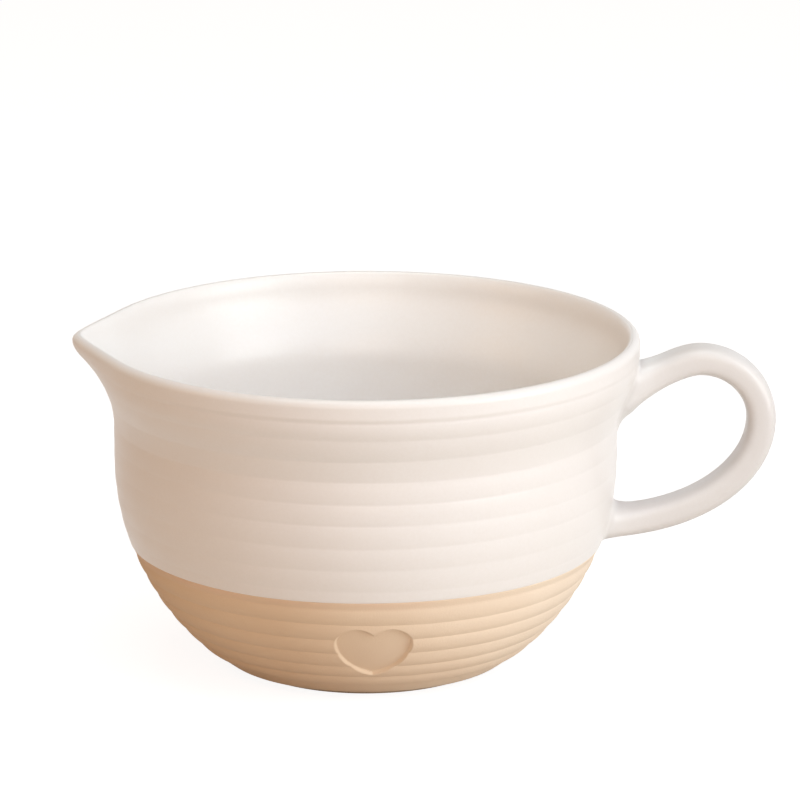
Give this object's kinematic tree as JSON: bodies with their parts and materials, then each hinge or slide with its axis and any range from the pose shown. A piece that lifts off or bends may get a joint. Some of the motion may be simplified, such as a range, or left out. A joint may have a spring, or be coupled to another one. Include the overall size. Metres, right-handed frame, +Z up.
{
  "type": "batter bowl",
  "caption": "Deep round stoneware mixing bowl with a pinched pouring lip, a ringed outside, a sand-coloured base band and an ear-shaped loop handle.",
  "frame": {"origin": "on the bowl's axis, in the plane of the foot ring's bare face, which is the table", "axes": "+Z up along the bowl's axis; +X from the pouring lip towards the handle; -Y is the stamped side"},
  "size_m": [0.2657, 0.2068, 0.1274],
  "materials": {
    "clay": "bare fired stoneware",
    "white_glaze": "warm white satin-gloss glaze",
    "sand": "matt sand-coloured coat",
    "slip": "fired slip clay"
  },
  "bodies": {
    "root": {"bowl_wall": "clay", "liner_glaze": "white_glaze", "outer_glaze": "white_glaze", "sand_coat": "sand", "handle_strap": "clay", "handle_glaze": "white_glaze", "upper_slip_joint": "slip", "lower_slip_joint": "slip"}
  },
  "joints": []
}
